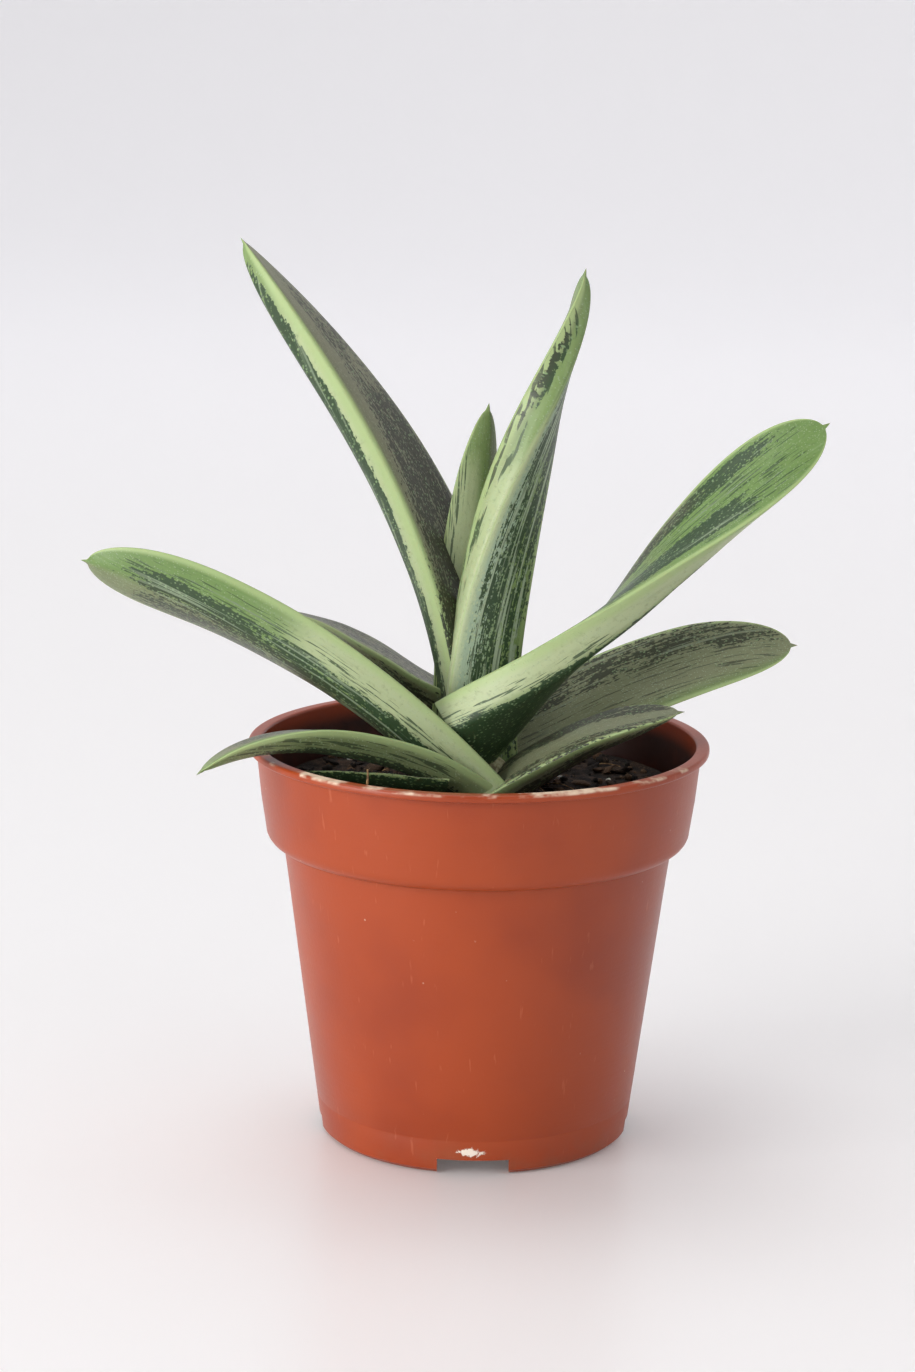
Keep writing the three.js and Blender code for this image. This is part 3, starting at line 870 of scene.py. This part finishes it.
def makeSoil():
    floor, shoulder, collar = innerWall(soilForm["clearance"])
    edge = soilTop - soilForm["mound"]
    profile = [shoulder, collar, (collar[0], edge)]
    rings = soilForm["rings"]
    profile += [(collar[0] * (1 - ring / rings), edge) for ring in range(1, rings)]
    soil = turnedPiece("soilBed", floor, profile, soilForm["around"])
    for vertex in soil.data.vertices:
        x, y = vertex.co.x / mm - axis.x, vertex.co.y / mm - axis.y
        if vertex.co.z / mm > edge - 0.1:
            rough = 1 - smoothRamp(math.hypot(x, y), collar[0] - 0.4, collar[0])
            vertex.co.z = (edge + (soilHeight(x, y) - edge) * rough) * mm
    complete(soil, soilGround(), sharpest=math.radians(60))
    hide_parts("potting_soil")


# One rough grain, then many copies of it set about the soil and joined
def scatterGrains(name, material, count, sizes, flatness, subdivisions, reach):
    deselect()
    bpy.ops.mesh.primitive_ico_sphere_add(subdivisions=subdivisions, radius=1)
    grain = bpy.context.object
    for vertex in grain.data.vertices:
        vertex.co *= 1 + 0.5 * noise.noise(vertex.co * 1.3 + Vector((count, 0, 0)))
    copies = []
    for index in range(count):
        copy = grain.copy()
        copy.data = grain.data.copy()
        away = reach * math.sqrt(dice.uniform(0.05, 1))
        turn = dice.uniform(0, 2 * math.pi)
        x, y = away * math.cos(turn), away * math.sin(turn)
        size = dice.uniform(*sizes) * dice.uniform(0.6, 1)
        z = soilHeight(x, y) + size * flatness * dice.uniform(-0.1, 0.5)
        copy.location = (axis + Vector((x, y, z))) * mm
        copy.rotation_euler = (dice.uniform(-0.5, 0.5), dice.uniform(-0.5, 0.5), dice.uniform(0, 6))
        copy.scale = Vector((1, dice.uniform(0.5, 1), flatness)) * size * mm
        share = [dice.random()] * len(copy.data.vertices)
        copy.data.attributes.new("share", "FLOAT", "POINT").data.foreach_set("value", share)
        bpy.context.scene.collection.objects.link(copy)
        copies.append(copy)
    bpy.data.objects.remove(grain)
    deselect()
    for copy in copies:
        copy.select_set(True)
    bpy.context.view_layer.objects.active = copies[0]
    bpy.ops.object.join()
    grains = bpy.context.object
    grains.name = grains.data.name = name
    complete(grains, material, sharpest=math.radians(70), doubles=0)


# A thin bar bent along the curve of its four points, thinner at both ends
def bentBar(name, points, radius, rings=20, around=8):
    bar = ringedBar(name, rings, around)
    points = [Vector(point) for point in points]
    for vertex in bar.data.vertices:
        t = (vertex.co.z + 1) / 2
        place, onward = curveAt(*points, t)
        side = onward.orthogonal().normalized()
        other = onward.normalized().cross(side)
        thick = radius * (0.35 + 0.65 * math.sin(math.pi * min(max(t, 0.08), 0.92)))
        place += (side * vertex.co.x + other * vertex.co.y) * thick
        vertex.co = (axis + place) * mm
    return bar


def fibreFinish():
    finish = Finish("dryFibre")
    place = finish.place()
    fine = finish.grain(place, 1.2, 3)
    colour = finish.blend(soilColours["fibre"], soilColours["fibreDry"], fine.step(0.35, 0.65))
    return finish.finishWith(colour, 0.7 + fine * 0.15, fine, 0.1)


# One fibre that stands up at the front left, and others that lie about
def makeFibres():
    bars = [bentBar("fibre", [
        (-21, -29.5, soilTop - 2), (-21.5, -29.5, soilTop + 3),
        (-19, -29, soilTop + 4), (-19.5, -29, soilTop + 8.5)], 0.32)]
    for index in range(soilForm["fibres"]):
        away, turn = dice.uniform(12, 33), dice.uniform(0, 2 * math.pi)
        points, heading = [], dice.uniform(0, 2 * math.pi)
        x, y = away * math.cos(turn), away * math.sin(turn)
        for step in range(4):
            arch = 0.3 if step % 3 else -0.3
            points.append((x, y, soilHeight(x, y) + arch + dice.uniform(0.2, 0.9)))
            heading += dice.uniform(-0.7, 0.7)
            x += soilForm["fibreStep"] * math.cos(heading)
            y += soilForm["fibreStep"] * math.sin(heading)
            shrink = min(1, soilForm["fibreReach"] / math.hypot(x, y))
            x, y = x * shrink, y * shrink
        bars.append(bentBar("fibre", points, dice.uniform(0.12, 0.26)))
    deselect()
    for bar in bars:
        bar.select_set(True)
    bpy.context.view_layer.objects.active = bars[0]
    bpy.ops.object.join()
    fibres = bpy.context.object
    fibres.name = fibres.data.name = "dryFibres"
    complete(fibres, fibreFinish(), doubles=0.001)


makeSoil()
crumbs = crumbFinish()
reach = soilRadius - 2
scatterGrains("soilCrumbs", crumbs, soilForm["crumbs"], (0.5, 1.5), 0.7, 1, reach)
scatterGrains("barkFlakes", crumbs, soilForm["flakes"], (1.2, 2.6), 0.3, 2, reach)
scatterGrains("perlite", perliteFinish(), soilForm["perlite"], (0.5, 1.2), 0.8, 2, reach)
makeFibres()
print("soil made")


# The stem, in millimetres
stemForm = {
    "radius": 7,
    "height": 23,
    "ribs": 0.35,
    "clearance": 0.3,
    "topTaper": 0.4,
    "footTaper": 0.3,
}
stemColours = {
    "skin": tone(112, 104, 72),
    "pale": tone(178, 178, 138),
    "scar": tone(84, 66, 46),
}


def stemFinish():
    finish = Finish("stemSkin", Subsurface_Weight=0.1, Subsurface_Scale=0.001)
    place = finish.place()
    lengthwise = finish.grain(finish.stretch(place, 1.1, 1.1, 0.12), 1, 3, 0.6)
    fine = finish.grain(place, 1.3, 3)
    colour = finish.blend(stemColours["skin"], stemColours["pale"], lengthwise.step(0.4, 0.62))
    colour = finish.blend(colour, stemColours["scar"], fine.step(0.58, 0.7) * 0.5)
    return finish.finishWith(colour, 0.6 + fine * 0.2, lengthwise + fine * 0.4, 0.3)


def makeStem():
    stem = ringedBar("crownStem", 40, 64)
    for vertex in stem.data.vertices:
        t = (vertex.co.z + 1) / 2
        turn = math.atan2(vertex.co.y, vertex.co.x)
        taper = (1 - stemForm["topTaper"] * smoothRamp(t, 0.75, 1)
                 - stemForm["footTaper"] * (1 - smoothRamp(t, 0, 0.2)))
        spot = Vector((math.cos(turn) * 3, math.sin(turn) * 3, t * 2))
        ribs = noise.noise(spot) * stemForm["ribs"]
        radius = stemForm["radius"] * taper - stemForm["clearance"] + ribs
        if endsMiddle(vertex):
            radius = 0
        height = crownHeight - stemForm["height"] * (1 - t)
        place = Vector((radius * math.cos(turn), radius * math.sin(turn), height))
        vertex.co = (axis + place) * mm
    complete(stem, stemFinish(), sharpest=math.radians(70))
    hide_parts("stem")


makeStem()
print("stem made")


# The camera's place from the pot's axis, its lens and its sensor are in millimetres, and its
# angles in radians
view = {
    "place": (0, -582.1, 211.2),
    "lens": 85,
    "sensor": 36,
    "pitch": 0.215,
    "yaw": -0.007,
    "roll": 0.013,
    "transform": "Standard",
}


def setCamera():
    pitch, yaw, roll = view["pitch"], view["yaw"], view["roll"]
    forward = Vector((
        math.sin(yaw) * math.cos(pitch), math.cos(yaw) * math.cos(pitch), -math.sin(pitch)))
    level = Vector((math.cos(yaw), -math.sin(yaw), 0))
    upright = level.cross(forward)
    right = level * math.cos(roll) + upright * math.sin(roll)
    up = upright * math.cos(roll) - level * math.sin(roll)
    camera = bpy.data.objects.new("camera", bpy.data.cameras.new("camera"))
    camera.data.lens = view["lens"]
    camera.data.sensor_width = view["sensor"]
    turned = Matrix((right, up, -forward)).transposed().to_4x4()
    camera.matrix_world = Matrix.Translation((axis + Vector(view["place"])) * mm) @ turned
    bpy.context.scene.collection.objects.link(camera)
    bpy.context.scene.camera = camera
    bpy.context.scene.view_settings.view_transform = view["transform"]


# Square lamps. Places, aims and sides in millimetres from the pot's axis, and power in watts
lamps = {
    "window": dict(
        place=(-900, -650, 380), aim=(0, 0, 80), size=800, power=14, colour=(1, 0.99, 0.98)),
    "room": dict(
        place=(900, -900, 500), aim=(0, 0, 80), size=1200, power=3, colour=(0.94, 0.96, 1)),
    "above": dict(
        place=(-300, 300, 1300), aim=(0, 0, 80), size=900, power=5.5, colour=(1, 1, 1)),
}


def setLamp(name, lamp):
    light = bpy.data.lights.new(name, "AREA")
    light.size = lamp["size"] * mm
    light.energy = lamp["power"]
    light.color = lamp["colour"]
    holder = bpy.data.objects.new(name, light)
    place = Vector(lamp["place"])
    aim = Vector(lamp["aim"]) - place
    holder.location = (axis + place) * mm
    holder.rotation_euler = aim.to_track_quat("-Z", "Y").to_euler()
    bpy.context.scene.collection.objects.link(holder)


# A floor that curves up into a wall, in metres and degrees. It glows a little, weakly near the
# plant and more towards the wall, and glowFrom and glowFull are in millimetres.
room = {
    "sky": (0.84, 0.89, 1, 1),
    "skyStrength": 0.56,
    "size": 10,
    "wallAway": 2.8,
    "cove": 1.2,
    "turn": -20,
    "floorBelow": 0.0002,
    "colour": (0.91, 0.905, 0.905, 1),
    "roughness": 0.4,
    "nearGlow": (0.085, 0.082, 0.08, 1),
    "glow": (0.21, 0.21, 0.225, 1),
    "glowFrom": 150,
    "glowFull": 1300,
}


def setRoom():
    world = bpy.data.worlds.new("room")
    world.use_nodes = True
    background = world.node_tree.nodes["Background"]
    background.inputs["Color"].default_value = room["sky"]
    background.inputs["Strength"].default_value = room["skyStrength"]
    bpy.context.scene.world = world
    deselect()
    size, wallAway, cove = room["size"], room["wallAway"], room["cove"]
    turn = math.radians(room["turn"])
    bpy.ops.mesh.primitive_plane_add(size=size, location=(0, wallAway - cove - size / 2, 0))
    floor = bpy.context.object
    floor.name = "floor"
    bpy.ops.object.transform_apply(location=True)
    for vertex in floor.data.vertices:
        vertex.select = vertex.co.y > wallAway - cove - 0.01
    bpy.context.tool_settings.mesh_select_mode = (True, False, False)
    bpy.ops.object.mode_set(mode="EDIT")
    path = arc(0, cove, cove, -90, 0, 24) + [(cove, size / 2)]
    for start, end in zip(path, path[1:]):
        onward = (0, end[0] - start[0], end[1] - start[1])
        bpy.ops.mesh.extrude_region_move(TRANSFORM_OT_translate={"value": onward})
    bpy.ops.object.mode_set(mode="OBJECT")
    floor.rotation_euler.z = turn
    floor.location = (axis.x * mm, axis.y * mm, -room["floorBelow"])
    bpy.ops.object.transform_apply(location=True, rotation=True)
    bpy.ops.object.shade_smooth()
    finish = Finish(
        "paleFloor", Base_Color=room["colour"], Roughness=room["roughness"],
        Specular_IOR_Level=0.4, Emission_Strength=1)
    x, y, z = finish.parts(finish.place())
    away = x * math.sin(-turn) + y * math.cos(turn)
    share = away.step(room["glowFrom"], room["glowFull"])
    glow = finish.blend(room["nearGlow"], room["glow"], share)
    finish.feed(finish.shader.inputs["Emission Color"], glow)
    floor.data.materials.append(finish.material)


setCamera()
for name, lamp in lamps.items():
    setLamp(name, lamp)
setRoom()
print("camera, lights and floor set")
